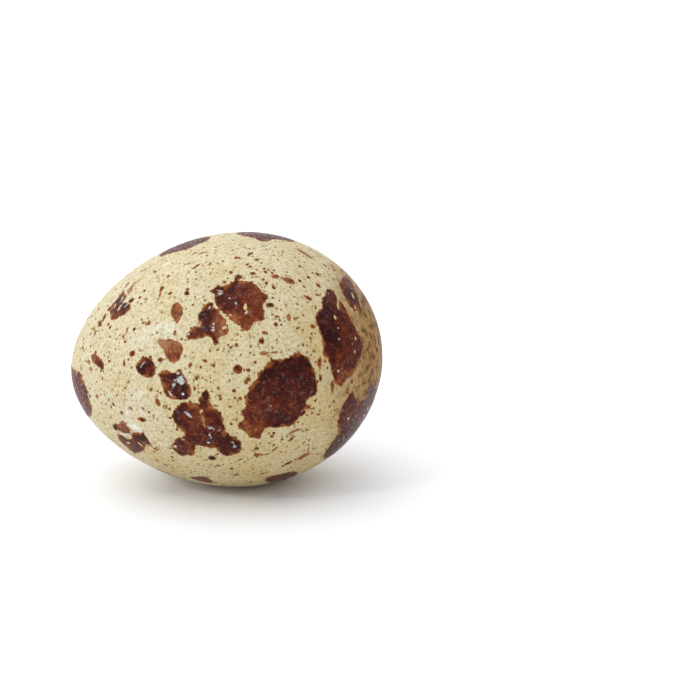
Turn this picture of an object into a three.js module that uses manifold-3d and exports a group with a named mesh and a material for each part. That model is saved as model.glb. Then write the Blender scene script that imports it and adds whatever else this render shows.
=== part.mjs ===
// Quail egg lying on its side, in its shell.
//
// Millimetres, +Z up. The egg's long axis runs along X with the blunt end at +X, raised a little
// above the narrow end. The origin is the centre of the small flat spot that the egg rests on.
// An egg is one piece with no joints or seams, so it is one closed solid: shell and contents together.

import * as THREE from 'three';
import { mergeVertices } from 'three/addons/utils/BufferGeometryUtils.js';
import Module from 'manifold-3d';

const eggLength = 32.1; // from pole to pole
const eggBreadth = 26.2; // across the widest ring
const pearShape = 0.101; // moves the widest ring towards the blunt end; 0 is the same at both ends
const poleShape = -0.053; // below 0 both poles are slimmer than an ellipse's, above 0 fuller
const axisTilt = THREE.MathUtils.degToRad(5.4); // how far the blunt pole is raised
const spotDepth = 0.12; // height of the round belly that the flat rest spot takes away

const rings = 40; // facets from pole to pole
const facets = 64; // facets round the girth
const cutterSide = 2 * eggLength; // the block below the rest spot is wider than the egg

const wasm = await Module();
wasm.setup();

// Preston's egg curve: how far out and how far along the axis the shell is, for a polar angle
// from -90 degrees at the narrow pole to +90 degrees at the blunt pole. The girth is not yet scaled.
function eggCurve(polarAngle) {
  const along = Math.sin(polarAngle);
  const girth = Math.cos(polarAngle) * (1 + pearShape * along + poleShape * along * along);
  return new THREE.Vector2(girth, (eggLength / 2) * along);
}

// Points of the half outline, evenly spaced in polar angle and scaled so that the widest is the
// stated breadth. Both end points are moved onto the axis exactly.
function eggOutline(count) {
  const outline = [];
  for (let i = 0; i <= count; i += 1) {
    outline.push(eggCurve(Math.PI * (i / count - 0.5)));
  }
  const widest = Math.max(...outline.map((point) => point.x));
  for (const point of outline) {
    point.x *= eggBreadth / 2 / widest;
  }
  outline[0].x = 0;
  outline[count].x = 0;
  return outline;
}

// The point of the tilted outline that is lowest, given as its X and its Z with the axis at Z = 0.
function bellyPoint() {
  const fineSteps = 2000;
  let lowest = new THREE.Vector2(0, Infinity);
  for (const point of eggOutline(fineSteps)) {
    const x = point.y * Math.cos(axisTilt) + point.x * Math.sin(axisTilt);
    const z = point.y * Math.sin(axisTilt) - point.x * Math.cos(axisTilt);
    if (z < lowest.y) {
      lowest = new THREE.Vector2(x, z);
    }
  }
  return lowest;
}

// A closed solid for cutting, from a geometry whose doubled vertices are merged. Triangles with two
// corners on one vertex, which a lathe leaves at its poles, are dropped.
function toSolid(geometry) {
  const bare = geometry.clone();
  bare.deleteAttribute('normal');
  bare.deleteAttribute('uv');
  const merged = mergeVertices(bare);
  const triangles = [];
  for (let i = 0; i < merged.index.count; i += 3) {
    const [a, b, c] = [0, 1, 2].map((corner) => merged.index.getX(i + corner));
    if (a !== b && b !== c && c !== a) {
      triangles.push(a, b, c);
    }
  }
  return new wasm.Manifold(new wasm.Mesh({
    numProp: 3,
    vertProperties: new Float32Array(merged.attributes.position.array),
    triVerts: new Uint32Array(triangles),
  }));
}

function toGeometry(solid) {
  const { vertProperties, triVerts } = solid.getMesh();
  const geometry = new THREE.BufferGeometry();
  geometry.setAttribute('position', new THREE.BufferAttribute(vertProperties, 3));
  geometry.setIndex(new THREE.BufferAttribute(triVerts, 1));
  geometry.computeVertexNormals();
  return geometry;
}

// The whole egg, turned from the lathe's upright axis onto X, tilted, and set down so that the
// belly point reaches spotDepth below the ground; a block then takes off all that is below it.
function makeEgg() {
  const belly = bellyPoint();
  const round = new THREE.LatheGeometry(eggOutline(rings), facets);
  round.rotateZ(-Math.PI / 2);
  round.rotateY(-axisTilt);
  round.translate(-belly.x, 0, -belly.y - spotDepth);

  const ground = new THREE.BoxGeometry(cutterSide, cutterSide, cutterSide);
  ground.translate(0, 0, -cutterSide / 2);

  const shell = new THREE.MeshStandardMaterial({ color: 0xd9cba3, roughness: 0.42, metalness: 0 });
  const egg = new THREE.Mesh(toGeometry(toSolid(round).subtract(toSolid(ground))), shell);
  egg.name = 'quail_egg';
  return egg;
}

const quailEgg = new THREE.Group();
quailEgg.add(makeEgg());

export default quailEgg;
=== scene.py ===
import math

import bpy
import numpy as np
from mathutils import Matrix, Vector, noise


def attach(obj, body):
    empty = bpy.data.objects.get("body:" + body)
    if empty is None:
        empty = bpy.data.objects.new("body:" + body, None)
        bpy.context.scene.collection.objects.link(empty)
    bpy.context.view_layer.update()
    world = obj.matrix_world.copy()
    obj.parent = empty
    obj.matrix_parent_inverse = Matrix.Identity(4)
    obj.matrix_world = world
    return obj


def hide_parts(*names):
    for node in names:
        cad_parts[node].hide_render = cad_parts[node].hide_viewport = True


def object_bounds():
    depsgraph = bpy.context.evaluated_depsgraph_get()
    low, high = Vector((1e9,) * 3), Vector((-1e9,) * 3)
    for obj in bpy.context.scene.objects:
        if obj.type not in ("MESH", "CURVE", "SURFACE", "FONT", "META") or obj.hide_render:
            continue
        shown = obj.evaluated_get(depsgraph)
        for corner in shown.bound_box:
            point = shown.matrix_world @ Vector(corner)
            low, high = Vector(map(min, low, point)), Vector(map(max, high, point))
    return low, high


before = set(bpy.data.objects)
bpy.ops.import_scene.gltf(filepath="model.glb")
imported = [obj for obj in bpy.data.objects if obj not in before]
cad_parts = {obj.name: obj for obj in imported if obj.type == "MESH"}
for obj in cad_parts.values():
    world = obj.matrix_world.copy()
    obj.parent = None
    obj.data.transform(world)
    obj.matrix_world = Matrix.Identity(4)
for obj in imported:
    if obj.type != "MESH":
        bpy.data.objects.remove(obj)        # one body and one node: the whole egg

mm = 0.001
solidLow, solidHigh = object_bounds()

egg = {
    "lengthOverBreadth": 1.2252,
    "pearShape": 0.101,              # moves the widest ring towards the blunt end
    "poleShape": -0.053,             # both poles a little slimmer than an ellipse's
    "tilt": math.radians(5.4),       # the blunt end is raised
    "rounds": 7,                     # subdivisions of the starting cube: 128 squares along each edge
    "pigmentRelief": 0.03,           # mm that the pigment stands proud of the shell
    "lumpSize": 4.0,                 # mm, slow unevenness that every shell has
    "lumpHeight": 0.06,              # mm
}


breadth = solidHigh.y - solidLow.y
length = breadth * egg["lengthOverBreadth"]


def girth(share):        # share of the half length, from -1 at the narrow pole to 1 at the blunt one
    share = np.clip(share, -1, 1)
    return np.sqrt(1 - share ** 2) * (1 + egg["pearShape"] * share + egg["poleShape"] * share ** 2)


shares = np.linspace(-1, 1, 4001)
waist = breadth / 2 / girth(shares).max()
tiltCos, tiltSin = math.cos(egg["tilt"]), math.sin(egg["tilt"])
reach = (shares * length / 2 * tiltCos + girth(shares) * waist * tiltSin).max()
height = (shares * length / 2 * tiltSin + girth(shares) * waist * tiltCos).max()
middle = Vector((solidHigh.x - reach, 0, solidHigh.z - height))        # middle of the egg's long axis


def addModifier(piece, kind, **settings):
    made = piece.modifiers.new(kind.lower(), kind)
    for name, value in settings.items():
        setattr(made, name, value)
    bpy.ops.object.modifier_apply(modifier=made.name)


def makeShell():
    bpy.ops.object.select_all(action="DESELECT")
    bpy.ops.mesh.primitive_cube_add(size=2)
    shell = bpy.context.object
    shell.name = "egg_shell"

    # a ball of even squares, with no pinched poles
    addModifier(shell, "SUBSURF", levels=egg["rounds"], render_levels=egg["rounds"])
    addModifier(shell, "CAST", factor=1, size=1, use_radius_as_size=False)

    bpy.ops.object.mode_set(mode="EDIT")
    bpy.ops.mesh.select_all(action="SELECT")
    bpy.ops.transform.resize(value=(length / 2, waist, waist))
    bpy.ops.object.mode_set(mode="OBJECT")

    # two tapers, one after the other, multiply into the egg's pear shape and slim poles
    spread = math.sqrt(egg["pearShape"] ** 2 - 4 * egg["poleShape"])
    for taper in (egg["pearShape"] + spread, egg["pearShape"] - spread):
        addModifier(shell, "SIMPLE_DEFORM", deform_method="TAPER", deform_axis="X", factor=taper)
    for face in shell.data.polygons:
        face.use_smooth = True
    return shell


# relief, then the egg is laid on its belly
def finishShell(shell, thickness):
    pigment = shell.vertex_groups.new(name="pigment")
    for i in np.flatnonzero(thickness > 0):
        pigment.add([int(i)], float(thickness[i]), "REPLACE")
    addModifier(shell, "DISPLACE", vertex_group="pigment", mid_level=0,
                strength=egg["pigmentRelief"] * mm)
    lumps = bpy.data.textures.new("lumps", "CLOUDS")
    lumps.noise_scale = egg["lumpSize"] * mm
    addModifier(shell, "DISPLACE", texture=lumps, texture_coords="LOCAL",
                strength=egg["lumpHeight"] * mm)

    bpy.ops.object.mode_set(mode="EDIT")
    bpy.ops.mesh.select_all(action="SELECT")
    bpy.ops.transform.rotate(value=egg["tilt"], orient_axis="Y", center_override=(0, 0, 0))
    bpy.ops.transform.translate(value=middle)
    bpy.ops.mesh.select_all(action="DESELECT")
    bpy.ops.object.mode_set(mode="OBJECT")
    for corner in shell.data.vertices:
        corner.select = corner.co.z < solidLow.z
    bpy.ops.object.mode_set(mode="EDIT")        # the flat spot that it rests on
    bpy.ops.transform.resize(value=(1, 1, 0), center_override=(0, 0, solidLow.z))
    bpy.ops.object.mode_set(mode="OBJECT")


# A place is (along, around): mm from the middle of the axis towards the blunt end, and degrees
# round it, where 0 faces front, 90 is the top, 180 the back and -90 the belly.
# Tone is how thin the pigment lies: 0 is black-brown, 0.5 chestnut and 1 tan. A dot of tone 2 is
# bare shell inside a blotch, and one of tone 3 is white crust on it, partly a painted glint.

blotches = {
    "hooked": {
        "edge": [(0.1, 47.3), (0.8, 49.3), (1.4, 48.5), (1.9, 50.2), (2.3, 50.8), (2.35, 53.2),
                 (2.7, 54.2), (3.1, 52.5), (2.75, 51.2), (3.4, 50.3), (4.1, 50), (5, 45.2),
                 (5.5, 43.2), (5.4, 40.6), (5, 38.6), (5, 36.6), (5.1, 34.8),
                 (4.9, 31), (4.1, 30.7), (3.7, 27.8), (3.2, 26.9), (2.4, 29.8), (1.5, 33.5),
                 (0.5, 39), (0.35, 44)],
        "tones": [(0.6, 45, 0.1), (2.2, 50, 0.1), (1.4, 40, 0.25), (3.2, 46, 0.45), (3.2, 40, 0.35),
                  (5.2, 42, 0.45), (2.6, 32, 0.65), (3.5, 28.5, 0.6), (4.6, 33, 0.5)]},
    "heart": {
        "edge": [(-0.1, 41.8), (-1, 38.5), (-1.35, 36), (-1.15, 31.3), (-1.8, 31.4), (-2.5, 28.7),
                 (-2.6, 27), (-2.2, 25.4), (-1.1, 25.6), (-0.3, 26), (0.05, 22), (0.4, 22.8),
                 (0.5, 24.8), (1.4, 26.6), (1.35, 31.8), (0.8, 36.3), (0.3, 39.2)],
        "tones": [(-0.8, 35, 0), (-0.5, 29, 0.1), (-2.1, 28, 0.45), (0.7, 32, 0.8), (0.7, 27, 0.75),
                  (0.2, 23.5, 0.25)]},
    "torn": {
        "edge": [(-9.2, 68.5), (-9, 64), (-8.8, 61), (-9, 57), (-8.4, 53.5), (-8.4, 50),
                 (-9.1, 47.5), (-10.4, 48.5), (-10.6, 55.5), (-11, 60.5), (-10.3, 62.5),
                 (-9.6, 65.5)],
        "tones": [(-9.2, 64, 0.4), (-9.4, 58, 0.05), (-8.8, 51.5, 0.15), (-10, 50, 0.6),
                  (-10.7, 60, 0.6)]},
    "mauveOval": {
        "edge": [(-3.5, 44.3), (-3, 42.2), (-2.85, 39.5), (-3.1, 36.5), (-3.5, 33.8), (-3.85, 36.5),
                 (-4.05, 40), (-3.9, 43)],
        "tones": [(-3.45, 39, 0.6)]},
    "tanPatch": {
        "edge": [(-5.6, 27.2), (-4.6, 27.3), (-3.6, 26), (-3.15, 23), (-3.15, 20.5), (-3.6, 17.3),
                 (-4.2, 16.2), (-4.8, 18.5), (-5, 22.5)],
        "tones": [(-5.2, 26.5, 1.15), (-4, 25, 0.85), (-3.9, 20, 0.65)]},
    "slantOval": {
        "edge": [(-12.85, 29.5), (-12.4, 30), (-12.1, 27), (-11.6, 22), (-11.5, 18.5),
                 (-11.75, 16.8), (-12.3, 20), (-12.8, 24.5)],
        "tones": [(-12.6, 28, 0.7), (-11.8, 19, 0.35)]},
    "narrowPole": {
        "edge": [(-15.5, 30), (-14.9, 19.5), (-14.35, 15.5), (-14.05, 6), (-13.8, -2),
                 (-13.85, -8), (-13.6, -18), (-13.7, -26), (-13.9, -34), (-14.6, -55),
                 (-15.3, -80), (-15.8, -130), (-15.5, -165), (-15.75, -190), (-15.6, -215),
                 (-15.9, -240), (-15.95, -280), (-15.8, -310)],
        "tones": [(-14.6, 0, 0.35), (-14.2, -20, 0.3)]},
    "pebble": {
        "edge": [(-8.1, 15.6), (-7.4, 20.3), (-7.05, 21), (-6.4, 19), (-6.05, 16.5), (-6, 12.8),
                 (-6.4, 10.5), (-7, 9.7), (-7.8, 13)],
        "tones": [(-7.2, 16, 0.05), (-6.4, 14, 0.4), (-7.2, 19.5, 0.4)]},
    "dice": {
        "edge": [(-5.7, 11.5), (-4.8, 13), (-4.1, 11.6), (-3.8, 12.8), (-3.4, 12.3), (-3.05, 8),
                 (-2.6, 3.5), (-2.8, 0.4), (-3.5, -1.1), (-4.6, -0.6), (-5.3, 1.8), (-5.5, 5.3),
                 (-5.65, 8.7)],
        "tones": [(-4.9, 10, 0.1), (-3.4, 3, 0.05), (-5.4, 4, 0.55), (-3.2, 10, 0.15)]},
    "cluster": {
        "edge": [(-1.3, 3), (-0.9, 1.5), (-0.85, -3.8), (-0.1, -7), (0.15, -12), (0.3, -17.3),
                 (1.2, -20.3), (1.55, -23), (1.35, -28), (0.7, -30), (0, -30.8), (-0.6, -29.8),
                 (-1, -26), (-1.9, -25.5), (-2.9, -24.5), (-3.1, -28), (-3.5, -32), (-4, -31.8),
                 (-4.6, -33.5), (-5.2, -30.5), (-5.5, -28), (-5.3, -25), (-4.6, -21),
                 (-3.8, -18.8), (-4.5, -15), (-4.8, -11.5), (-4.9, -9), (-4.4, -5),
                 (-3.75, -2.4), (-3.2, -1.9), (-2.1, -2.8), (-1.95, -0.5)],
        "tones": [(-1.4, 0, 0.1), (-3.8, -6, 0.2), (-4.2, -12, 0.15), (-2.9, -14, 0.4),
                  (-1.85, -9, 0.75), (-1.1, -8, 0.3), (-0.6, -15, 0.1), (0.9, -24, 0.05),
                  (0, -28, 0.2), (-2.5, -22, 0.3), (-4.6, -28, 0.25), (-3.6, -25, 0.4)]},
    "boulder": {
        "edge": [(7.6, 16), (7.3, 14.3), (6.4, 13.6), (5.2, 13), (4.9, 11.3), (4.2, 9), (3.9, 8.2),
                 (4, 6.2), (3.3, 4.2), (2.9, 1), (2.55, -3.5), (2.45, -6), (2, -7.3), (2.1, -11.5),
                 (1.65, -12.6), (1.45, -14.8), (1.65, -16.8), (2.1, -17.5), (2.4, -20.5), (3, -22),
                 (3.5, -22.2), (4.1, -17.5), (5.2, -18.5), (6.8, -19), (7.1, -17.5), (8, -15),
                 (8.1, -12.6), (8.8, -14), (8.3, -10), (8.5, -7.8), (9.1, -7), (9.4, -4.5),
                 (9.45, 1), (9.4, 5), (9.1, 9.5), (8.9, 12.3), (8.3, 15)],
        "tones": [(8, 13, 0), (5, 9, 0.05), (3.6, 2, 0.1), (8.8, 2, 0.15), (6, 4, 0.05),
                  (4.6, -4, 0.4), (6.8, -6, 0.35), (5.4, -13, 0.1), (3, -17, 0.6), (7.2, -16, 0.3),
                  (2.7, -9, 0.4)]},
    "tall": {
        "edge": [(11.35, 54.6), (11.75, 55), (12, 52.4), (12.1, 48), (12.2, 44.5), (12.25, 48.5),
                 (12.6, 47.5), (13, 42.7), (13.2, 39.5), (13.5, 34), (13.75, 29), (14.1, 24.5),
                 (14.2, 19), (14.1, 13), (13.85, 6.5), (13.5, 2.3), (13, -2.8), (12.4, -3.8),
                 (11.8, -7.3), (11.2, -3.7), (11, 2), (10.75, 9), (10.3, 14.4), (10.4, 19),
                 (10.2, 26), (9.9, 31), (9.9, 34.5), (10.3, 38), (10.6, 40.5), (10.7, 46.5),
                 (11, 49.5), (11.1, 52.6)],
        "tones": [(11.4, 52, 0.3), (10.8, 38, 0.1), (12.8, 38, 0.4), (11.2, 24, 0), (13.2, 24, 0.4),
                  (11.8, 10, 0.3), (13, 6, 0.35), (12, -4, 0.5)]},
    "shoulder": {
        "edge": [(12.5, 69), (12.7, 77), (13, 83), (13.3, 88), (13.6, 83), (13.9, 76), (14.1, 69),
                 (14.25, 61), (14.4, 54), (14.4, 50), (14.15, 48.5), (13.95, 50.5), (13.75, 47),
                 (13.4, 48.3), (13.1, 50.5), (12.75, 55.5), (12.5, 60), (12.4, 65)],
        "tones": [(13, 70, 0.5), (13.6, 60, 0.1), (13.9, 52, 0.4)]},
    "bluntFoot": {
        "edge": [(12.35, -16.5), (12.8, -15.5), (12.9, -21), (13.2, -25), (13.5, -30), (13.9, -31),
                 (14.3, -25), (14.8, -26), (15.2, -38), (15, -60), (14.5, -85), (13, -95),
                 (11.5, -88), (10.2, -75), (9.2, -62), (9.2, -54), (9.6, -50), (10.3, -44.5),
                 (10.9, -41), (11, -35), (11, -31), (11.3, -25), (11.7, -21), (12.15, -18.3)],
        "tones": [(12.4, -20, 0.2), (12.2, -32, 0.35), (11.2, -50, 0.15), (13.6, -45, 0.3)]},
    "chippedLeft": {
        "edge": [(-11.55, -26), (-11.1, -22.5), (-10.7, -22), (-10.2, -17.5), (-9.9, -19.3),
                 (-9.65, -23), (-9.7, -26.3), (-10.4, -28.8), (-10.9, -28.3), (-11.3, -30.5)],
        "tones": [(-10.4, -23, 0.75), (-11.2, -27, 0.2)]},
    "chippedLow": {
        "edge": [(-11.2, -35), (-10.9, -32), (-10.1, -33), (-9.6, -30), (-9.35, -25), (-8.4, -23),
                 (-8.1, -21.3), (-7.8, -28), (-7.5, -31.7), (-8.1, -31), (-8.5, -36.5),
                 (-9.2, -43.5), (-9.8, -48), (-10.5, -45), (-11.1, -41.5)],
        "tones": [(-10.2, -38, 0.4), (-8.3, -27, 0.05), (-9.2, -33, 0.3)]},
    "bellyRight": {
        "edge": [(3.1, -54.5), (3.8, -52.8), (4.6, -53), (5.2, -53.5), (5.8, -54.5), (6.3, -59),
                 (6.2, -65), (5, -70), (3.8, -67), (3.1, -61)],
        "tones": [(4.6, -58, 0.25)]},
    "bellyLeft": {
        "edge": [(-4.5, -55), (-3.8, -52), (-3, -50), (-2.5, -51.5), (-2.1, -57), (-2.7, -60),
                 (-3.6, -59)],
        "tones": [(-3.4, -55, 0.45)]},
    "crownLeft": {
        "edge": [(-5.4, 85), (-4.6, 83), (-3.6, 81.5), (-2.6, 80), (-1.6, 82.5), (-0.6, 84.5),
                 (-0.2, 89), (-0.8, 95), (-1.8, 98), (-2.6, 106), (-3.6, 111), (-4.4, 104), (-4.8, 97),
                 (-5.6, 91)],
        "tones": [(-3, 88, 0.25)]},
    "crownRight": {
        "edge": [(2.3, 92), (3, 87.5), (4, 84.5), (5, 80.5), (5.7, 81.5), (6, 85.5), (7, 88.5),
                 (8, 91), (8.2, 96), (7.4, 102), (7.9, 108), (6.6, 112), (4.9, 117), (4.3, 109),
                 (3.4, 103), (2.6, 97)],
        "tones": [(5, 88, 0.3)]},
}

# the side that faces away wears the same blotches again, moved, turned and resized:
# which one, the place of its middle, its turn in degrees and its size
repeats = [
    ("boulder", (-4.5, 205), 70, 0.95), ("hooked", (3.5, 160), 200, 1.1),
    ("cluster", (7.5, 215), 120, 0.9), ("dice", (-9.5, 150), 40, 1.0), ("heart", (-2, 140), 150, 0.8),
    ("pebble", (0.5, 236), 10, 1.2), ("tall", (12, 150), 60, 0.8), ("torn", (-11, 235), 100, 1.1),
    ("pebble", (8, 133), 80, 0.9), ("dice", (3, 262), 130, 0.9), ("heart", (11.5, 252), 20, 0.8),
    ("mauveOval", (-5.5, 262), 60, 1.3), ("hooked", (-7, 292), 30, 0.6),
    ("pebble", (-12, 185), 0, 0.8), ("mauveOval", (8.5, 178), 130, 1.2),
    ("dice", (-7, 113), 70, 0.6), ("tanPatch", (-0.5, 182), 60, 1.0),
    ("mauveOval", (1, 118), 20, 0.9), ("pebble", (14.8, 215), 40, 0.9),
]

# single dots and dashes: place, half length and half width in mm, turn in degrees, tone
dots = [
    # above the hooked blotch and to its right
    (4.15, 54.8, 0.3, 0.22, 0, 0.15), (6.35, 54, 0.38, 0.28, 10, 0.5), (7.6, 52.5, 0.6, 0.38, -12, 0.55),
    (5.45, 49.5, 0.22, 0.15, 90, 0.3), (1.4, 50.8, 0.17, 0.17, 0, 0.3), (3.9, 59, 0.2, 0.15, 90, 0.6),
    (2.65, 65, 0.3, 0.13, 20, 0.3), (4, 68.5, 0.17, 0.17, 0, 0.4), (5.7, 57.5, 0.2, 0.1, -15, 0.6),
    (9.4, 44, 0.45, 0.2, -25, 0.6), (10.3, 47.5, 0.3, 0.15, 0, 0.9), (10.4, 54.3, 0.25, 0.25, 0, 0.7),
    (9.2, 79, 1.0, 0.3, -30, 0.55), (11.1, 77, 0.3, 0.15, -40, 0.6), (11.95, 81, 0.7, 0.15, -45, 0.6),
    (5.65, 38.3, 0.42, 0.28, 0, 0.1),
    (6.1, 29.3, 0.27, 0.22, 10, 0.2), (6.25, 32.7, 0.25, 0.13, -8, 0.8), (7.35, 32.5, 0.38, 0.22, 85, 1.1),
    (9.6, 28.3, 0.28, 0.24, -30, 0.2), (5, 25.6, 0.3, 0.15, -30, 0.5), (4.6, 22, 0.35, 0.25, -60, 0.2),
    (2.2, 21, 0.2, 0.15, 90, 0.5), (1.65, 20.3, 0.16, 0.16, 0, 0.4), (9.25, 22.3, 0.18, 0.18, 0, 1.1),
    # the upper left
    (-0.85, 72, 0.42, 0.12, 15, 0.3), (-1.6, 74, 0.25, 0.12, 10, 0.5), (-1.5, 62.5, 0.4, 0.13, 30, 0.3),
    (-0.05, 62.5, 0.2, 0.15, 60, 0.4), (-2.3, 66, 0.2, 0.12, 0, 0.5), (-2.4, 48, 0.27, 0.27, 0, 0.15),
    (-4.95, 55, 0.25, 0.22, 0, 0.4), (-5.15, 51.5, 0.3, 0.1, 75, 0.8), (-4.3, 61.5, 0.22, 0.18, 20, 0.5),
    (-7, 78, 0.45, 0.12, -10, 0.5), (-7.3, 69.2, 0.35, 0.1, 15, 0.5), (-8.85, 72.5, 0.42, 0.16, 60, 0.2),
    (-8.3, 67.5, 0.62, 0.14, 38, 0.55), (-8.35, 64, 0.5, 0.12, 55, 0.6), (-8.2, 55.5, 0.35, 0.3, 20, 0.2),
    (-7.3, 54.5, 0.2, 0.2, 0, 0.6), (-11.3, 55.5, 0.55, 0.25, 60, 0.5), (-11.8, 52.3, 0.5, 0.25, -60, 0.35),
    (-12.4, 48, 0.35, 0.15, 80, 0.4), (-12.6, 53, 0.2, 0.2, 0, 0.9), (-10.8, 47, 0.18, 0.18, 0, 0.8),
    (-8.7, 38, 0.25, 0.12, 70, 0.5), (-9.2, 34.5, 0.2, 0.2, 0, 0.5), (-6.4, 37.5, 0.25, 0.25, 0, 0.3),
    (-7, 38.5, 0.15, 0.15, 0, 0.8), (-13.9, 52, 0.15, 0.15, 0, 0.6), (-9, 31, 0.15, 0.15, 0, 0.6),
    # between the tan patch, the pebble and the dice
    (-3.75, 29.8, 0.3, 0.15, 80, 0.3), (-8.3, 23.3, 0.36, 0.3, 10, 0.3), (-5.45, 18, 0.27, 0.23, 0, 0.2),
    (-9.25, 19, 0.35, 0.18, 85, 0.7), (-14.3, 21, 0.3, 0.1, 90, 0.6), (-13.05, 18.5, 0.2, 0.2, 0, 1),
    (-6.15, -2.7, 0.42, 0.25, 105, 0.2), (-5.35, -4.5, 0.25, 0.12, 70, 0.5),
    (-10.95, -7.5, 0.17, 0.17, 0, 0.5), (-12.7, -4.5, 0.22, 0.22, 0, 0.5), (-10.15, -12, 0.2, 0.2, 0, 0.4),
    (-8.1, -13.5, 0.5, 0.3, -5, 0.25), (-9.1, -7.8, 0.2, 0.15, 0, 0.9),
    # the middle
    (2.1, 10.8, 0.45, 0.42, 0, 0.35), (3, 6.2, 0.27, 0.2, 20, 0.2), (1.5, 2, 0.2, 0.2, 0, 0.25),
    (2.05, -1.8, 0.17, 0.17, 0, 0.3), (0.05, -0.2, 0.3, 0.12, -50, 0.5), (-0.4, -4.3, 0.25, 0.12, -15, 0.6),
    (0.95, -5, 0.2, 0.13, 10, 0.6), (0.85, -13.3, 0.17, 0.17, 0, 0.3), (-2, 8.5, 0.22, 0.2, 90, 0.25),
    (-2.3, 4.2, 0.22, 0.17, 90, 0.3), (-1, 15.8, 0.33, 0.15, -30, 0.3), (-2.45, 14.5, 0.27, 0.18, 45, 0.4),
    (-0.2, 13.2, 0.17, 0.17, 0, 0.8), (4.6, 16.7, 0.3, 0.2, 0, 1), (5.65, 16.7, 0.4, 0.1, 5, 1),
    (3.1, 9.9, 0.15, 0.15, 0, 0.5), (-0.6, 42.7, 0.15, 0.15, 0, 0.9),
    # beside the boulder and below the tall blotch
    (9.9, 9.5, 0.5, 0.25, 75, 0.5), (9.9, 1, 0.4, 0.2, 85, 0.25), (10.9, -5.8, 0.5, 0.2, 85, 0.25),
    (12.3, -12.8, 0.35, 0.2, 60, 0.55), (9.45, 15.7, 0.2, 0.12, 0, 0.9),
    # the lower half
    (-1.6, -32.5, 0.42, 0.38, 0, 0), (-0.95, -29.8, 0.2, 0.12, 20, 0.1), (-1.15, -38, 0.27, 0.14, 0, 0.3),
    (1.1, -34, 0.35, 0.12, 30, 0.9), (2.9, -32, 0.35, 0.25, 0, 0.2), (3.75, -32.6, 0.25, 0.07, -8, 0.3),
    (2.5, -28.7, 0.2, 0.1, 0, 0.9), (4.6, -22.5, 0.22, 0.2, 90, 0.8), (4.6, -30.7, 0.35, 0.12, 35, 0.7),
    (6.4, -27, 0.33, 0.17, 40, 0.2), (6.5, -23.2, 0.42, 0.1, 18, 0.3), (7.2, -22.9, 0.25, 0.13, 5, 0.3),
    (8, -25, 0.2, 0.1, -20, 0.5), (0.4, -46.5, 0.35, 0.15, 0, 0.2), (5.75, -44, 0.48, 0.22, 15, 0.3),
    (7.25, -43.3, 0.6, 0.35, 15, 0.75), (3, -48, 0.25, 0.2, 0, 1), (-5.7, -36, 0.17, 0.13, 0, 0.3),
    (-7.2, -32.8, 0.35, 0.2, 0, 1), (10.9, -20.8, 0.15, 0.15, 0, 0.7), (9.3, -18.5, 0.15, 0.15, 0, 0.8),
    # bare flecks inside the blotches, where the pigment did not take
    (3.3, 37.6, 0.32, 0.16, 85, 2), (1.1, 29, 0.2, 0.15, 20, 2), (11.75, 35.2, 0.26, 0.14, -70, 2),
    (13.6, 63, 0.34, 0.15, -75, 2), (11.6, 2.5, 0.17, 0.12, 0, 2), (12.1, 44.5, 0.4, 0.1, -80, 2),
    (13.55, 23.2, 0.18, 0.1, 90, 2), (13.35, 12.2, 0.22, 0.1, 80, 2), (13.75, 51.2, 0.22, 0.12, -70, 2),
    (-1.9, -6.5, 0.28, 0.14, 60, 2), (-1.85, -10.5, 0.75, 0.12, 95, 1.3), (0.8, 46.5, 0.25, 0.1, -20, 2),
    (-9.25, 61.5, 0.4, 0.1, 60, 2), (-9.6, 54, 0.3, 0.1, 50, 2), (-10.1, 58.5, 0.3, 0.1, 70, 2),
    (-10.1, -37, 0.3, 0.1, 30, 2), (-8.8, -33, 0.25, 0.1, -30, 2),
    # white crust on the thickest pigment, partly painted glints
    (-3.6, 8.6, 0.34, 0.24, 60, 3), (-3.45, 6.9, 0.3, 0.18, 10, 3), (-4.15, 8.2, 0.12, 0.1, 0, 3),
    (-4.35, 6, 0.26, 0.11, 70, 3), (-4.75, 1.9, 0.32, 0.12, -50, 3), (-3.5, 1.7, 0.16, 0.14, 0, 3),
    (-3.75, 11.4, 0.13, 0.11, 0, 3), (-3.3, -7.8, 0.36, 0.11, -45, 3), (-7.3, 16.8, 0.3, 0.07, 45, 3),
    (-5.1, -27, 0.24, 0.14, 20, 3), (-4.2, -21.8, 0.18, 0.1, 0, 3), (-1.2, -14.8, 0.22, 0.1, 60, 3),
    (-0.4, -16, 0.16, 0.1, 0, 3), (-1.4, -18.6, 0.24, 0.1, -70, 3), (-1.6, -22.5, 0.2, 0.12, 30, 3),
    (0.7, -22.8, 0.18, 0.1, -30, 3), (0.85, -25.2, 0.2, 0.12, 20, 3), (-9.1, 57.5, 0.3, 0.1, 50, 3),
    (-8.8, 53.5, 0.26, 0.1, 20, 3), (-0.2, 38.5, 0.15, 0.1, 80, 3), (0.1, 31, 0.13, 0.11, 30, 3),
    (0, 28.5, 0.14, 0.1, 0, 3), (-1.35, 31, 0.13, 0.11, 0, 3), (0.9, 44.5, 0.24, 0.11, 20, 3),
    (1.8, 42, 0.12, 0.11, 0, 3), (2.45, 39.5, 0.1, 0.1, 0, 3), (1.8, 34.2, 0.14, 0.12, 0, 3),
    (3.3, 34.8, 0.15, 0.1, 30, 3), (11.3, 50.8, 0.12, 0.1, 0, 3), (11.95, 28.8, 0.12, 0.1, 0, 3),
    (11.95, 22, 0.12, 0.1, 0, 3), (12.05, -34.8, 0.14, 0.1, 0, 3), (-9.9, -28, 0.22, 0.1, 40, 3),
]

scatter = {"dots": 170, "from": 108, "to": 296, "seed": 41, "smallest": 0.13, "largest": 0.6}
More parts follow.
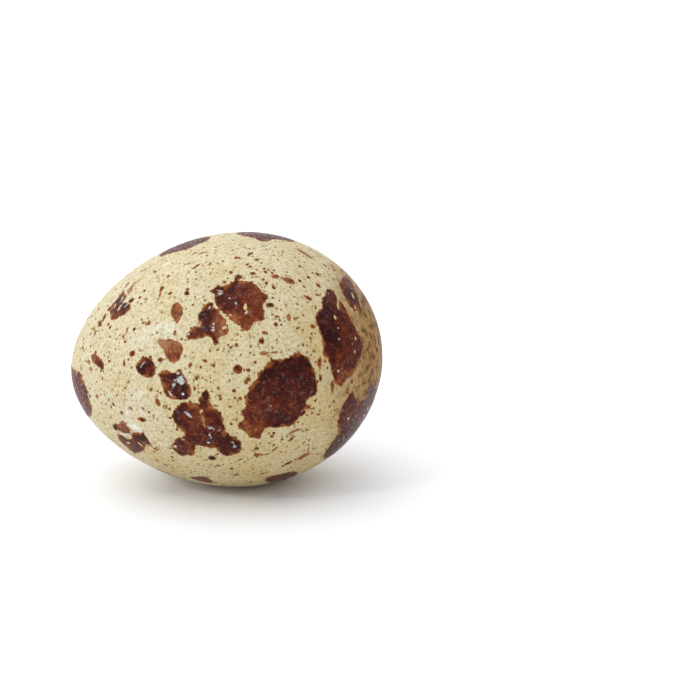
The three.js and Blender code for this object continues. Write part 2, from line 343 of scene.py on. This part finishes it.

# dull white lime on the shell, and painted highlights at its left front: place, half length and half width
# in mm, turn in degrees, strength
limeAndHighlightPatches = [
    (-9, -19.5, 1.0, 0.5, -25, 0.9), (-9.4, -10, 0.6, 0.35, 40, 0.4), (-5.4, 34, 1.1, 0.5, 0, 0.35),
    (-4.3, 31.5, 0.8, 0.5, 0, 0.5), (-8.7, -2, 1.5, 1.0, 60, 0.3), (-7.6, 2.5, 0.35, 0.3, 0, 0.5),
    (-4.6, 72, 0.7, 0.3, 10, 0.5), (-7.2, 31, 1.4, 0.9, 30, 0.3), (-8, -8, 0.45, 0.35, 0, 0.4),
    (-1, 50, 1.4, 0.8, 0, 0.15), (-8, 12.5, 0.4, 0.25, 0, 0.35), (6, 148, 1.3, 0.7, 30, 0.5),
    (-3, 236, 1.5, 0.8, 120, 0.5), (-12, 205, 1.0, 0.6, 10, 0.5), (3, 195, 0.9, 0.5, 60, 0.6),
]

handwork = {
    "wobble": 0.05, "farWobble": 0.3,        # mm that an outline wanders, in front and at the back
    "wobbleSize": 0.9, "wobbleSeed": 7,      # mm from wave to wave; the seed gives the same waves each run
    "toneReach": 0.5,                        # mm over which one tone fades into the next
    "dotMargin": 0.3,                        # mm round a dot that still carries its centre
    "rise": 0.15,                            # mm over which the pigment reaches its full thickness
    # the lime patches include painted highlights at the left front
    "limeAndHighlightFade": 1.5,                         # lime fades out at this many times its stated size
    "limeAndHighlightBack": 3.0,                         # mm below a patch's own level where it stops
}


def onShell(along, around):        # in mm, before the egg is tilted
    along, turn = np.asarray(along, float), np.radians(around)
    r = girth(along * mm / (length / 2)) * waist / mm
    return np.stack([along + 0 * turn, -r * np.cos(turn), r * np.sin(turn)], -1)


# the shell is laid flat round one place: u runs along the egg, v round it, w out of it
def flatFrame(along, around):
    step = 0.01
    u = onShell(along + step, around) - onShell(along - step, around)
    u /= np.linalg.norm(u)
    v = np.array([0, math.sin(math.radians(around)), math.cos(math.radians(around))])
    return onShell(along, around), np.array([u, v, np.cross(u, v)])


def rounded(corners, steps=4):        # a smooth closed curve through the corners
    before, at, after, later = (np.roll(corners, shift, axis=0)[:, None] for shift in (1, 0, -1, -2))
    t = (np.arange(steps) / steps)[None, :, None]
    curve = at + 0.5 * ((after - before) * t + (2 * before - 5 * at + 4 * after - later) * t ** 2
                        + (3 * at - before - 3 * after + later) * t ** 3)
    return curve.reshape(-1, 2)


def depthInside(points, outline):        # mm to the outline, positive inside it
    nearest = np.full(len(points), np.inf)
    inside = np.zeros(len(points), bool)
    for a, b in zip(outline, np.roll(outline, -1, axis=0)):
        edge = b - a
        share = np.clip((points - a) @ edge / (edge @ edge), 0, 1)
        nearest = np.minimum(nearest, np.linalg.norm(points - a - share[:, None] * edge, axis=1))
        spans = (a[1] > points[:, 1]) != (b[1] > points[:, 1])
        crossing = a[0] + edge[0] * (points[:, 1] - a[1]) / (edge[1] or 1)
        inside ^= spans & (points[:, 0] < crossing)
    return np.where(inside, nearest, -nearest)


def scatteredDots():
    rng = np.random.default_rng(scatter["seed"])
    made = []
    for _ in range(scatter["dots"]):
        along = length / mm / 2 * rng.uniform(-0.97, 0.97)
        around = rng.uniform(scatter["from"], scatter["to"])
        half = scatter["smallest"] + (scatter["largest"] - scatter["smallest"]) * rng.random() ** 3
        made.append((along, around, half, half * rng.uniform(0.45, 1), rng.uniform(0, 180),
                     rng.uniform(0.1, 0.9)))
    return made


# paints the shell: each corner of the mesh is told how deep in a blotch it lies and in
# which tone, and where the dot nearest to it has its centre
def paintShell(shell):
    count = len(shell.data.vertices)
    corners = np.empty(count * 3, np.float32)
    shell.data.vertices.foreach_get("co", corners)
    corners = corners.reshape(-1, 3) / mm
    noise.seed_set(handwork["wobbleSeed"])
    waves = np.array([noise.noise_vector(Vector(p / handwork["wobbleSize"])) for p in corners])

    paint = {"blotchDepth": np.full(count, -2.0), "blotchTone": np.full(count, 0.5),
             "dotDepth": np.full(count, -1.0), "dotTone": np.full(count, 0.5),
             "dotHalf": np.zeros(count), "limeAndHighlight": np.zeros(count)}
    dotCentre, dotAxis = corners.astype(float), np.zeros((count, 3))

    def addBlotch(place, outline, tones, wobble):
        centre, axes = flatFrame(*place)
        off = corners - centre
        size = np.abs(outline).max() + 2
        near = np.flatnonzero((np.linalg.norm(off, axis=1) < size * 1.5) & (off @ axes[2] > -size))
        flat = (off[near] + waves[near] * wobble) @ axes[:2].T
        depth = depthInside(flat, outline)
        apart = [((flat - t[:2]) ** 2).sum(axis=1) for t in tones]
        weight = 1 / (np.array(apart) + handwork["toneReach"] ** 2) ** 1.5
        tone = np.dot([t[2] for t in tones], weight) / weight.sum(axis=0)
        better = depth > paint["blotchDepth"][near]
        paint["blotchDepth"][near[better]] = depth[better]
        paint["blotchTone"][near[better]] = tone[better]

    laid = {}
    for name, blotch in blotches.items():
        place = np.mean(blotch["edge"], axis=0)
        centre, axes = flatFrame(*place)
        outline = rounded((onShell(*np.array(blotch["edge"], float).T) - centre) @ axes[:2].T)
        tones = [(*((onShell(along, around) - centre) @ axes[:2].T), tone)
                 for along, around, tone in blotch["tones"]]
        laid[name] = outline, tones
        addBlotch(place, outline, tones, handwork["wobble"])

    for name, place, turn, size in repeats:
        outline, tones = laid[name]
        c, s = math.cos(math.radians(turn)) * size, math.sin(math.radians(turn)) * size
        turned = np.array([[c, s], [-s, c]])
        tones = [(*(np.array(t[:2]) @ turned), t[2]) for t in tones]
        addBlotch(place, outline @ turned, tones, handwork["farWobble"])
    print("pigment: blotches", len(blotches) + len(repeats))

    # a dot is an ellipse; each corner keeps the dot that it lies deepest in or nearest to
    everyDot = scatteredDots() + dots
    for along, around, half, wide, turn, tone in everyDot:
        centre, axes = flatFrame(along, around)
        direction = axes[0] * math.cos(math.radians(turn)) + axes[1] * math.sin(math.radians(turn))
        off = corners - centre
        lengthwise = (off @ direction) ** 2 * (1 - (wide / half) ** 2)
        depth = wide - np.sqrt(np.maximum((off ** 2).sum(axis=1) - lengthwise, 0))
        near = depth > np.maximum(paint["dotDepth"], -handwork["dotMargin"])
        dotCentre[near] = centre
        dotAxis[near] = direction * math.sqrt(1 / wide ** 2 - 1 / half ** 2)
        paint["dotDepth"][near] = depth[near]
        paint["dotHalf"][near] = wide
        paint["dotTone"][near] = tone
    print("pigment: dots", len(everyDot))

    # lime patches, with the painted highlights among them
    for along, around, half, wide, turn, strength in limeAndHighlightPatches:
        centre, axes = flatFrame(along, around)
        flat = (corners - centre) @ axes.T
        c, s = math.cos(math.radians(turn)), math.sin(math.radians(turn))
        q = np.hypot((flat[:, 0] * c + flat[:, 1] * s) / half, (flat[:, 1] * c - flat[:, 0] * s) / wide)
        fade = np.clip(handwork["limeAndHighlightFade"] - q, 0, 1) * strength
        fade[flat[:, 2] <= -handwork["limeAndHighlightBack"]] = 0
        paint["limeAndHighlight"] = np.maximum(paint["limeAndHighlight"], fade)

    # the vectors are stored as they will lie once the egg is tilted and moved
    level = np.array([[tiltCos, 0, tiltSin], [0, 1, 0], [-tiltSin, 0, tiltCos]])
    dotCentre, dotAxis = dotCentre @ level * mm + np.array(middle), dotAxis @ level
    for name, values in paint.items():
        layer = shell.data.attributes.new(name, "FLOAT", "POINT")
        layer.data.foreach_set("value", values.astype(np.float32))
    for name, values in (("dotCentre", dotCentre), ("dotAxis", dotAxis)):
        layer = shell.data.attributes.new(name, "FLOAT_VECTOR", "POINT")
        layer.data.foreach_set("vector", values.astype(np.float32).ravel())
    return np.clip(paint["blotchDepth"] / handwork["rise"] + 0.5, 0, 1)


def linear(hexColour):
    parts = [int(hexColour[i:i + 2], 16) / 255 for i in (0, 2, 4)]
    return [p / 12.92 if p <= 0.04045 else ((p + 0.055) / 1.055) ** 2.4 for p in parts] + [1]


# adds a node with its settings; an input takes a number, a hex colour, a node or one of its outputs
def addNode(tree, kind, inputs, **settings):
    made = tree.nodes.new("ShaderNode" + kind)
    for name, value in settings.items():
        setattr(made, name, value)
    for name, value in inputs.items():
        if isinstance(value, bpy.types.Node):
            value = value.outputs[0]
        if isinstance(value, bpy.types.NodeSocket):
            tree.links.new(value, made.inputs[name])
        else:
            made.inputs[name].default_value = linear(value) if isinstance(value, str) else value
    return made


# colours as they look in soft light; every size in mm
eggshell = {
    "cream": "cec4a5", "sand": "c4ad7b", "cloudSize": 4.0, "clouds": 0.3,
    "sandyTowards": (0.65, 0, -0.76), "sandyFrom": -21.0, "sandyTo": 8.0,        # blunt end and belly
    # the golden blunt end: partly thin pigment, partly painted shade
    "goldAndShade": "9c7036", "goldMottle": "7c5426", "goldMottleSize": 1.6, "goldFrom": 9.0, "goldTo": 14.0,
    "smudge": "4c2a0c", "smudgeSize": 0.8, "smudgeFrom": 0.47, "smudgeTo": 0.63,
    # olive pores, drawn coarser than real ones, which are too fine to show
    "stipple": "948249", "stippleSize": 0.3, "stippleStrength": 0.62,
    # spots, at most one to a cell: the share of cells that have one, half its usual width, how far
    # its outline is bent and how soft it is, as shares of the cell, and its two colours
    "spotSmallest": 0.35, "spotLargest": 1.6, "spotRarity": 1.7,        # of the usual; large ones are rare
    "spots": {
        "speck": {"cell": 0.42, "share": 0.95, "half": 0.10, "bend": 0.4, "soft": 0.05,
                  "dark": "6f4d24", "pale": "9a824c"},
        "crumb": {"cell": 0.85, "share": 0.8, "half": 0.15, "bend": 0.4, "soft": 0.02,
                  "dark": "54260f", "pale": "845426"},
        # crust: pale mauve specks on the pigment, partly chalk and partly painted glints
        "crustGlint": {"cell": 1.0, "share": 0.35, "half": 0.07, "bend": 0.2, "soft": 0.02,
                  "dark": "90706a", "pale": "b89e96"},
    },
    "pigment": ["2c0d0a", "501a0b", "753a1a", "936a48"],        # from thick to thin
    "fringe": "94551f", "fringeStrength": 0.9, "fringeNarrow": 0.16, "fringeWide": 0.7,
    "frayCoarse": 0.42, "frayFine": 0.13, "frayFineShare": 0.6, "fray": 0.42, "edgeBlur": 0.035,
    "dotFray": 0.6, "dotReach": 0.15,        # share of the fray that dots get; mm that fray may add to them
    "onTopFrom": 1.2, "bareFrom": 1.5, "whiteFrom": 2.5,        # tones of dots that lie on blotches
    "mottleSize": 0.8, "mottle": 0.28, "grainSize": 0.24, "grain": 0.12,
    "limeAndHighlight": "dfdfdd", "limeAndHighlightSize": 0.4, "crustGlintPale": "c6c8c6", "crustGlintDull": "8a8684",
    "ior": 1.54, "specular": 0.08, "shellRough": 0.46, "pigmentRough": 0.36,
    "uneven": 0.06, "unevenSize": 0.8,        # how far the roughness wanders, and over how many mm
    "glintRough": 0.12, "glintFrom": 0.56, "glintTo": 0.66,        # only the highest beads are glossy
    "poreSize": 0.28, "poreDepth": 0.012, "beadSize": 0.36, "beadHeight": 0.10,
}


# bird's eggshell: chalky crystals laid down in the hen under a thin skin, so it is satin and finely
# pored; the brown is a blood pigment smeared on last, which dries lumpy with glossy beads, almost
# black where it is thick and rust where it is thin
def makeEggshell():
    look = eggshell
    material = bpy.data.materials.new("speckled eggshell")
    material.use_nodes = True
    tree = material.node_tree
    surface = tree.nodes["Principled BSDF"]
    surface.inputs["IOR"].default_value = look["ior"]
    surface.inputs["Specular IOR Level"].default_value = look["specular"]
    surface.inputs["Coat Roughness"].default_value = look["glintRough"]
    place = addNode(tree, "TexCoord", {}).outputs["Object"]
    painted = {}
    for name in ("blotchDepth", "blotchTone", "dotDepth", "dotTone", "dotHalf", "limeAndHighlight"):
        painted[name] = addNode(tree, "Attribute", {}, attribute_name=name).outputs["Fac"]
    for name in ("dotCentre", "dotAxis"):
        painted[name] = addNode(tree, "Attribute", {}, attribute_name=name).outputs["Vector"]

    # bare shell: cream to sand in slow clouds
    clouds = addNode(tree, "TexNoise", {"Vector": place, "Scale": 1000 / look["cloudSize"], "Detail": 3})
    clouds = addNode(tree, "MapRange", {
        "Value": clouds, "From Min": 0.35, "From Max": 0.65,
        "To Min": -look["clouds"], "To Max": look["clouds"]})
    sandy = addNode(tree, "VectorMath", {0: place, 1: look["sandyTowards"]}, operation="DOT_PRODUCT")
    sandy = addNode(tree, "MapRange", {
        "Value": sandy.outputs["Value"], "From Min": look["sandyFrom"] * mm,
        "From Max": look["sandyTo"] * mm})
    sandy = addNode(tree, "Math", {0: sandy, 1: clouds}, operation="ADD", use_clamp=True)
    ground = addNode(tree, "MixRGB", {"Fac": sandy, "Color1": look["cream"], "Color2": look["sand"]})

    # olive stipple of pores
    stipple = addNode(tree, "TexNoise", {
        "Vector": place, "Scale": 1000 / look["stippleSize"], "Detail": 3, "Roughness": 0.75})
    stipple = addNode(tree, "MapRange", {
        "Value": stipple, "From Min": 0.44, "From Max": 0.64, "To Max": look["stippleStrength"]})
    ground = addNode(tree, "MixRGB", {"Fac": stipple, "Color1": ground, "Color2": look["stipple"]})

    # towards the blunt pole a golden veil, partly thin pigment and partly painted shade, mottled and
    # smudged with brown
    patchy = addNode(tree, "TexNoise", {
        "Vector": place, "Scale": 1000 / look["goldMottleSize"], "Detail": 5, "Roughness": 0.72})
    patchy = addNode(tree, "MapRange", {"Value": patchy, "From Min": 0.42, "From Max": 0.68})
    goldenAndShaded = addNode(tree, "MixRGB", {
        "Fac": patchy, "Color1": look["goldAndShade"], "Color2": look["goldMottle"]})
    alongX = addNode(tree, "SeparateXYZ", {"Vector": place})
    toBlunt = addNode(tree, "MapRange", {
        "Value": alongX, "From Min": look["goldFrom"] * mm, "From Max": look["goldTo"] * mm})
    ground = addNode(tree, "MixRGB", {"Fac": toBlunt, "Color1": ground, "Color2": goldenAndShaded})
    smudges = addNode(tree, "TexNoise", {
        "Vector": place, "Scale": 1000 / look["smudgeSize"], "Detail": 4, "Roughness": 0.6})
    smudges = addNode(tree, "MapRange", {
        "Value": smudges, "From Min": look["smudgeFrom"], "From Max": look["smudgeTo"]})
    smudges = addNode(tree, "Math", {0: smudges, 1: toBlunt}, operation="MULTIPLY")
    ground = addNode(tree, "MixRGB", {"Fac": smudges, "Color1": ground, "Color2": look["smudge"]})

    # spots, each of its own size and with a bent outline, the largest ones rare
    spots, tints = {}, {}
    for name, spot in look["spots"].items():
        bend = spot["cell"] * spot["bend"]
        push = addNode(tree, "TexNoise", {"Vector": place, "Scale": 1000 / bend}).outputs["Color"]
        push = addNode(tree, "VectorMath", {0: push, 1: (0.5, 0.5, 0.5)}, operation="SUBTRACT")
        bent = addNode(tree, "VectorMath", {
            0: push, 1: (bend * mm, bend * mm, bend * mm), 2: place}, operation="MULTIPLY_ADD")
        cells = addNode(tree, "TexVoronoi", {"Vector": bent, "Scale": 1000 / spot["cell"]})
        chance = addNode(tree, "SeparateColor", {0: cells.outputs["Color"]})
        rare = addNode(tree, "MapRange", {"Value": chance, "From Min": 1 - spot["share"], "From Max": 1})
        size = addNode(tree, "Math", {0: rare, 1: look["spotRarity"]}, operation="POWER")
        size = addNode(tree, "MapRange", {
            "Value": size, "To Min": look["spotSmallest"] * spot["half"] / spot["cell"],
            "To Max": look["spotLargest"] * spot["half"] / spot["cell"]})
        inside = addNode(tree, "Math", {0: size, 1: cells.outputs["Distance"]}, operation="SUBTRACT")
        inside = addNode(tree, "MapRange", {
            "Value": inside, "From Min": -spot["soft"], "From Max": spot["soft"]})
        shown = addNode(tree, "Math", {0: rare, 1: 0.001}, operation="GREATER_THAN")
        spots[name] = addNode(tree, "Math", {0: inside, 1: shown}, operation="MULTIPLY")
        tints[name] = addNode(tree, "MixRGB", {
            "Fac": chance.outputs[1], "Color1": spot["dark"], "Color2": spot["pale"]})
    for name in ("speck", "crumb"):
        ground = addNode(tree, "MixRGB", {"Fac": spots[name], "Color1": ground, "Color2": tints[name]})

    # dull lime, and painted highlights at the left front
    rub = addNode(tree, "TexNoise", {"Vector": place, "Scale": 1000 / look["limeAndHighlightSize"], "Detail": 3})
    rub = addNode(tree, "MapRange", {"Value": rub, "From Min": 0.3, "From Max": 0.65})
    limedAndHighlit = addNode(tree, "Math", {0: rub, 1: painted["limeAndHighlight"]}, operation="MULTIPLY")
    ground = addNode(tree, "MixRGB", {"Fac": limedAndHighlit, "Color1": ground, "Color2": look["limeAndHighlight"]})

    # blotches and dots fray at their edges, coarse and fine
    coarse = addNode(tree, "TexNoise", {"Vector": place, "Scale": 1000 / look["frayCoarse"], "Detail": 1})
    fine = addNode(tree, "TexNoise", {"Vector": place, "Scale": 1000 / look["frayFine"], "Detail": 1})
    fray = addNode(tree, "Math", {0: fine, 1: look["frayFineShare"], 2: coarse}, operation="MULTIPLY_ADD")
    evenly = (1 + look["frayFineShare"]) / 2        # as much of the edge moves out as in
    fray = addNode(tree, "Math", {0: fray, 1: evenly}, operation="SUBTRACT")
    fray = addNode(tree, "Math", {0: fray, 1: look["fray"]}, operation="MULTIPLY")
    deep = addNode(tree, "Math", {0: painted["blotchDepth"], 1: fray}, operation="ADD")
    blotch = addNode(tree, "MapRange", {
        "Value": deep, "From Min": -look["edgeBlur"], "From Max": look["edgeBlur"]})

    # dots: the distance to the painted centre, shorter along the dot's own axis
    off = addNode(tree, "VectorMath", {0: place, 1: painted["dotCentre"]}, operation="SUBTRACT")
    off = addNode(tree, "VectorMath", {0: off, 1: (1000, 1000, 1000)}, operation="MULTIPLY")
    half = addNode(tree, "Math", {0: painted["dotHalf"], 1: 0.001}, operation="MAXIMUM")
    square = addNode(tree, "VectorMath", {0: off, 1: off}, operation="DOT_PRODUCT").outputs["Value"]
    lengthwise = addNode(tree, "VectorMath", {
        0: off, 1: painted["dotAxis"]}, operation="DOT_PRODUCT").outputs["Value"]
    lengthwise = addNode(tree, "Math", {0: lengthwise, 1: half}, operation="MULTIPLY")
    lengthwise = addNode(tree, "Math", {0: lengthwise, 1: 2}, operation="POWER")
    apart = addNode(tree, "Math", {0: square, 1: lengthwise}, operation="SUBTRACT")
    apart = addNode(tree, "Math", {0: apart, 1: 0}, operation="MAXIMUM")
    apart = addNode(tree, "Math", {0: apart}, operation="SQRT")
    dotDeep = addNode(tree, "Math", {0: half, 1: apart}, operation="SUBTRACT")
    dotDeep = addNode(tree, "Math", {0: fray, 1: look["dotFray"], 2: dotDeep}, operation="MULTIPLY_ADD")
    dot = addNode(tree, "MapRange", {
        "Value": dotDeep, "From Min": -look["edgeBlur"], "From Max": look["edgeBlur"]})
    near = addNode(tree, "Math", {
        0: painted["dotDepth"], 1: -look["dotReach"]}, operation="GREATER_THAN")
    dot = addNode(tree, "Math", {0: dot, 1: near}, operation="MULTIPLY")
    dotDeep = addNode(tree, "Math", {0: dotDeep, 1: near}, operation="MULTIPLY")

    # a plain dot runs into a blotch with no line between them; flecks and white crusts, partly painted
    # glints, lie on top of it
    deepest = addNode(tree, "Math", {0: deep, 1: dotDeep}, operation="MAXIMUM")
    beside = addNode(tree, "Math", {0: 1, 1: blotch}, operation="SUBTRACT")
    onTop = addNode(tree, "Math", {
        0: painted["dotTone"], 1: look["onTopFrom"]}, operation="GREATER_THAN")
    beside = addNode(tree, "Math", {0: beside, 1: onTop}, operation="MAXIMUM")
    dotShown = addNode(tree, "Math", {0: dot, 1: beside}, operation="MULTIPLY")

    # pigment colour by tone, mottled and grained, with a rusty rim that swells here and there
    mottle = addNode(tree, "TexNoise", {
        "Vector": place, "Scale": 1000 / look["mottleSize"], "Detail": 5, "Roughness": 0.62})
    mottle = addNode(tree, "MapRange", {
        "Value": mottle, "From Min": 0.3, "From Max": 0.7,
        "To Min": -look["mottle"], "To Max": look["mottle"]})
    grain = addNode(tree, "TexNoise", {
        "Vector": place, "Scale": 1000 / look["grainSize"], "Detail": 2, "Roughness": 0.6})
    grain = addNode(tree, "MapRange", {
        "Value": grain, "From Min": 0.35, "From Max": 0.65,
        "To Min": -look["grain"], "To Max": look["grain"]})
    mottle = addNode(tree, "Math", {0: mottle, 1: grain}, operation="ADD")
    swell = addNode(tree, "TexNoise", {"Vector": place, "Scale": 1000 / look["mottleSize"], "Detail": 1})
    swell = addNode(tree, "MapRange", {
        "Value": swell, "From Min": 0.5, "From Max": 0.7,
        "To Min": look["fringeNarrow"], "To Max": look["fringeWide"]})
    colour = ground
    for tone, shown in ((painted["blotchTone"], blotch), (painted["dotTone"], dotShown)):
        toned = addNode(tree, "Math", {0: tone, 1: mottle}, operation="ADD")
        ramp = addNode(tree, "ValToRGB", {"Fac": toned})
        for i, shade in enumerate(look["pigment"]):
            stops = ramp.color_ramp.elements
            stop = stops[i] if i < 2 else stops.new(1)
            stop.position = i / (len(look["pigment"]) - 1)
            stop.color = linear(shade)
        rim = addNode(tree, "Math", {0: deepest, 1: swell}, operation="DIVIDE")
        rim = addNode(tree, "MapRange", {"Value": rim, "To Min": look["fringeStrength"], "To Max": 0})
        pigment = addNode(tree, "MixRGB", {"Fac": rim, "Color1": ramp, "Color2": look["fringe"]})
        if shown is blotch:
            # pale mauve specks on the pigment, partly painted glints
            pigment = addNode(tree, "MixRGB", {
                "Fac": spots["crustGlint"], "Color1": pigment, "Color2": tints["crustGlint"]})
        else:
            bare = addNode(tree, "Math", {0: tone, 1: look["bareFrom"]}, operation="GREATER_THAN")
            pigment = addNode(tree, "MixRGB", {"Fac": bare, "Color1": pigment, "Color2": look["sand"]})
            # tone 3: white crust, partly painted glints
            white = addNode(tree, "Math", {0: tone, 1: look["whiteFrom"]}, operation="GREATER_THAN")
            crustGlint = addNode(tree, "MixRGB", {
                "Fac": rub, "Color1": look["crustGlintDull"], "Color2": look["crustGlintPale"]})
            pigment = addNode(tree, "MixRGB", {"Fac": white, "Color1": pigment, "Color2": crustGlint})
        colour = addNode(tree, "MixRGB", {"Fac": shown, "Color1": colour, "Color2": pigment})
    tree.links.new(colour.outputs[0], surface.inputs["Base Color"])

    # satin all over, smoother on the pigment, each a little uneven
    covered = addNode(tree, "Math", {0: blotch, 1: dot}, operation="MAXIMUM")
    satin = addNode(tree, "MapRange", {
        "Value": covered, "To Min": look["shellRough"], "To Max": look["pigmentRough"]})
    uneven = addNode(tree, "TexNoise", {"Vector": place, "Scale": 1000 / look["unevenSize"], "Detail": 2})
    uneven = addNode(tree, "MapRange", {
        "Value": uneven, "From Min": 0.3, "From Max": 0.7,
        "To Min": -look["uneven"], "To Max": look["uneven"]})
    satin = addNode(tree, "Math", {0: satin, 1: uneven}, operation="ADD")
    tree.links.new(satin.outputs[0], surface.inputs["Roughness"])

    # heights in mm: pores all over, beads where the pigment dried, the highest of them glossy
    pores = addNode(tree, "TexNoise", {
        "Vector": place, "Scale": 1000 / look["poreSize"], "Detail": 3, "Roughness": 0.6})
    pores = addNode(tree, "Math", {0: pores, 1: look["poreDepth"]}, operation="MULTIPLY")
    beads = addNode(tree, "TexNoise", {
        "Vector": place, "Scale": 1000 / look["beadSize"], "Detail": 3, "Roughness": 0.55})
    glossy = addNode(tree, "MapRange", {
        "Value": beads, "From Min": look["glintFrom"], "From Max": look["glintTo"]})
    glossy = addNode(tree, "Math", {0: glossy, 1: covered}, operation="MULTIPLY")
    tree.links.new(glossy.outputs[0], surface.inputs["Coat Weight"])
    beads = addNode(tree, "Math", {0: beads, 1: covered}, operation="MULTIPLY")
    heights = addNode(tree, "Math", {0: beads, 1: look["beadHeight"], 2: pores}, operation="MULTIPLY_ADD")
    bumps = addNode(tree, "Bump", {"Height": heights, "Distance": mm, "Strength": 1})
    tree.links.new(bumps.outputs[0], surface.inputs["Normal"])
    return material


studio = {
    "floorSize": 4.0, "floor": "f3f5f9", "floorRough": 0.8,        # m; plain white card
    "ambient": 0.66,                                # light from all round
    "skyGain": 1.10, "skyTowards": (-0.42, 0.12, 0.86),        # and more from the upper left
    "lampSize": 0.035, "lampPower": 0.25, "lampPlace": (-0.27, -0.24, 0.27),        # m, W
}


def makeStudio():
    bpy.ops.object.select_all(action="DESELECT")
    bpy.ops.mesh.primitive_plane_add(size=studio["floorSize"], location=(0, 0, solidLow.z))
    floor = bpy.context.object
    floor.name = "floor"
    card = bpy.data.materials.new("white card")
    card.use_nodes = True
    paper = card.node_tree.nodes["Principled BSDF"]
    paper.inputs["Base Color"].default_value = linear(studio["floor"])
    paper.inputs["Roughness"].default_value = studio["floorRough"]
    floor.data.materials.append(card)

    # a soft dome of light, brighter towards the upper left
    world = bpy.data.worlds.new("soft dome")
    world.use_nodes = True
    tree = world.node_tree
    direction = addNode(tree, "TexCoord", {}).outputs["Generated"]
    towards = Vector(studio["skyTowards"]).normalized()
    facing = addNode(tree, "VectorMath", {0: direction, 1: towards}, operation="DOT_PRODUCT")
    strength = addNode(tree, "MapRange", {
        "Value": facing.outputs["Value"], "To Min": studio["ambient"],
        "To Max": studio["ambient"] + studio["skyGain"]}, clamp=False)
    tree.links.new(strength.outputs[0], tree.nodes["Background"].inputs["Strength"])
    tree.nodes["Background"].inputs["Color"].default_value = (1, 1, 1, 1)
    bpy.context.scene.world = world

    lamp = bpy.data.lights.new("lamp", "AREA")
    lamp.size = studio["lampSize"]
    lamp.energy = studio["lampPower"]
    stand = bpy.data.objects.new("lamp", lamp)
    stand.location = studio["lampPlace"]
    stand.rotation_mode = "QUATERNION"
    stand.rotation_quaternion = (middle - stand.location).to_track_quat("-Z", "Y")
    bpy.context.scene.collection.objects.link(stand)
    bpy.context.scene.view_settings.view_transform = "Standard"


camera = {
    "elevation": math.radians(15), "lens": 100.0, "sensor": 36.0,
    "view": 72.22,                     # mm across, at the egg
    "right": 12.68, "up": 1.09,        # mm from the egg's middle to the middle of the view
}


def makeCamera():
    lens = bpy.data.cameras.new("camera")
    lens.lens, lens.sensor_width, lens.clip_start = camera["lens"], camera["sensor"], 0.01
    look = Vector((0, math.cos(camera["elevation"]), -math.sin(camera["elevation"])))
    up = Vector((0, -look.z, look.y))
    aim = middle + Vector((camera["right"] * mm, 0, 0)) + up * camera["up"] * mm
    stand = bpy.data.objects.new("camera", lens)
    stand.location = aim - look * (camera["view"] * mm * camera["lens"] / camera["sensor"])
    stand.rotation_mode = "QUATERNION"
    stand.rotation_quaternion = look.to_track_quat("-Z", "Y")
    bpy.context.scene.collection.objects.link(stand)
    bpy.context.scene.camera = stand


shell = makeShell()
print("shell: triangles", 2 * len(shell.data.polygons))
finishShell(shell, paintShell(shell))
shell.data.materials.append(makeEggshell())
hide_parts("quail_egg")
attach(shell, "root")
print("shell: painted, finished and laid down")

makeStudio()
makeCamera()
print("studio and camera: ready")
